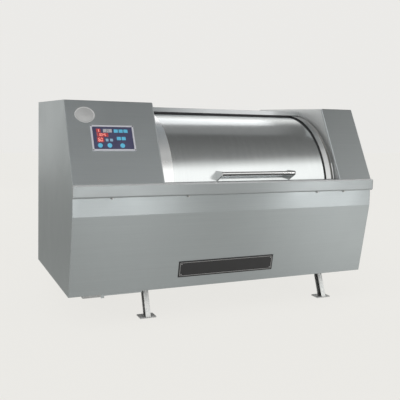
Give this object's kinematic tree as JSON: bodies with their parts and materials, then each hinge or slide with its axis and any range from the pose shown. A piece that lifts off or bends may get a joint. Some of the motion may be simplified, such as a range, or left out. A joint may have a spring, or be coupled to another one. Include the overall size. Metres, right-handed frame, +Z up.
{
  "type": "industrial washing machine",
  "caption": "Horizontal industrial washing machine: drum in a fixed tub between two sheet-steel cabinets, curved sliding door with a bar handle, sloped control panel and splayed legs.",
  "frame": {"origin": "on the floor under the middle of the bounding box", "axes": "+X along the drum to the right seen from the front, front faces -Y, +Z up"},
  "size_m": [2.3, 1.272, 1.495],
  "materials": {
    "satin_steel": "satin hairline stainless sheet",
    "ledge_steel": "satin stainless sheet",
    "bright_steel": "polished stainless sheet",
    "tub_steel": "pickled stainless sheet",
    "frame_paint": "light grey paint",
    "cast_iron": "painted casting",
    "shaft_steel": "ground steel",
    "black_rubber": "matt rubber",
    "white_nylon": "nylon",
    "plate_black": "gloss black with a thin bright border, no text",
    "bezel_aluminium": "anodised",
    "face_navy": "dark printed face, no text",
    "window_red": "display windows",
    "key_cyan": "keys",
    "motor_paint": "blue machine paint",
    "fan_plastic": "moulded fan",
    "pipe_steel": "stainless pipe",
    "box_paint": "powder coat"
  },
  "bodies": {
    "cabinet": {"left_side_panel": "satin_steel", "right_side_panel": "satin_steel", "inner_walls": "satin_steel", "left_fascia": "satin_steel", "right_fascia": "satin_steel", "top_panels": "satin_steel", "front_panel": "satin_steel", "rear_panels": "satin_steel", "hood_cover": "satin_steel", "apron_ledge": "ledge_steel", "door_sill": "ledge_steel", "door_rails": "bright_steel", "tub_shell": "tub_steel", "tub_ends": "tub_steel", "foot_plates": "frame_paint", "stand_legs": "frame_paint", "tie_beams": "frame_paint", "frame_rails": "frame_paint", "tub_saddles": "frame_paint", "motor_cradle": "frame_paint", "bearing_pedestals": "cast_iron", "bearing_caps": "cast_iron", "seal_housings": "cast_iron", "main_bearings": "shaft_steel", "panel_screws": "shaft_steel", "shaft_seals": "black_rubber", "door_seals": "black_rubber", "drive_belts": "black_rubber", "nameplate": "plate_black", "panel_bezel": "bezel_aluminium", "control_face": "face_navy", "display_windows": "window_red", "gear_reducer": "motor_paint", "motor": "motor_paint", "drain_pipework": "pipe_steel", "inlet_pipes": "pipe_steel", "electrical_box": "box_paint"},
    "door": {"door_skin": "bright_steel", "door_glides": "white_nylon", "handle_bar": "bright_steel", "handle_brackets": "bright_steel"},
    "drum": {"drum_shell": "tub_steel", "drum_ends": "tub_steel", "drum_lifters": "tub_steel", "drum_shafts": "shaft_steel", "drum_pulley": "cast_iron", "inner_door_guides": "tub_steel"},
    "inner_door": {"inner_door": "tub_steel"},
    "drive_pulley": {"drive_pulley": "cast_iron"},
    "motor_fan": {"motor_fan": "fan_plastic"},
    "drain_disc": {"drain_disc": "pipe_steel"},
    "key_start": {"key_start": "key_cyan"},
    "key_stop": {"key_stop": "key_cyan"},
    "key_reset": {"key_reset": "key_cyan"},
    "key_up": {"key_up": "key_cyan"},
    "key_set": {"key_set": "key_cyan"},
    "key_down": {"key_down": "key_cyan"},
    "key_hot": {"key_hot": "key_cyan"},
    "key_cold": {"key_cold": "key_cyan"}
  },
  "joints": [
    {"name": "door_slide", "type": "hinge", "parent": "cabinet", "child": "door", "pos_m": [0.162, 0.025, 0.84], "axis": [-1, 0, 0], "range_deg": [0, 64]},
    {"name": "drum_spin", "type": "hinge", "parent": "cabinet", "child": "drum", "pos_m": [0.162, 0.025, 0.84], "axis": [-1, 0, 0], "continuous": true},
    {"name": "inner_door_slide", "type": "hinge", "parent": "drum", "child": "inner_door", "pos_m": [0.162, 0.025, 0.84], "axis": [-1, 0, 0], "range_deg": [0, 50]},
    {"name": "drive_spin", "type": "hinge", "parent": "cabinet", "child": "drive_pulley", "pos_m": [-0.692, -0.06, 0.272], "axis": [-1, 0, 0], "continuous": true},
    {"name": "fan_spin", "type": "hinge", "parent": "cabinet", "child": "motor_fan", "pos_m": [-1.075, -0.06, 0.272], "axis": [-1, 0, 0], "continuous": true},
    {"name": "drain_turn", "type": "hinge", "parent": "cabinet", "child": "drain_disc", "pos_m": [0.486, 0.025, 0.22], "axis": [1, 0, 0], "range_deg": [0, 90]},
    {"name": "key_start_press", "type": "slide", "parent": "cabinet", "child": "key_start", "axis": [0, 0.8876, -0.4606], "range_m": [0, 0.0012], "stiffness_N_per_m": 800},
    {"name": "key_stop_press", "type": "slide", "parent": "cabinet", "child": "key_stop", "axis": [0, 0.8876, -0.4606], "range_m": [0, 0.0012], "stiffness_N_per_m": 800},
    {"name": "key_reset_press", "type": "slide", "parent": "cabinet", "child": "key_reset", "axis": [0, 0.8876, -0.4606], "range_m": [0, 0.0012], "stiffness_N_per_m": 800},
    {"name": "key_up_press", "type": "slide", "parent": "cabinet", "child": "key_up", "axis": [0, 0.8876, -0.4606], "range_m": [0, 0.0012], "stiffness_N_per_m": 800},
    {"name": "key_set_press", "type": "slide", "parent": "cabinet", "child": "key_set", "axis": [0, 0.8876, -0.4606], "range_m": [0, 0.0012], "stiffness_N_per_m": 800},
    {"name": "key_down_press", "type": "slide", "parent": "cabinet", "child": "key_down", "axis": [0, 0.8876, -0.4606], "range_m": [0, 0.0012], "stiffness_N_per_m": 800},
    {"name": "key_hot_press", "type": "slide", "parent": "cabinet", "child": "key_hot", "axis": [0, 0.8876, -0.4606], "range_m": [0, 0.0012], "stiffness_N_per_m": 800},
    {"name": "key_cold_press", "type": "slide", "parent": "cabinet", "child": "key_cold", "axis": [0, 0.8876, -0.4606], "range_m": [0, 0.0012], "stiffness_N_per_m": 800}
  ],
  "couplings": [
    {"joint": "drive_spin", "follows": "drum_spin", "ratio": 3.5},
    {"joint": "fan_spin", "follows": "drum_spin", "ratio": -38.5}
  ]
}
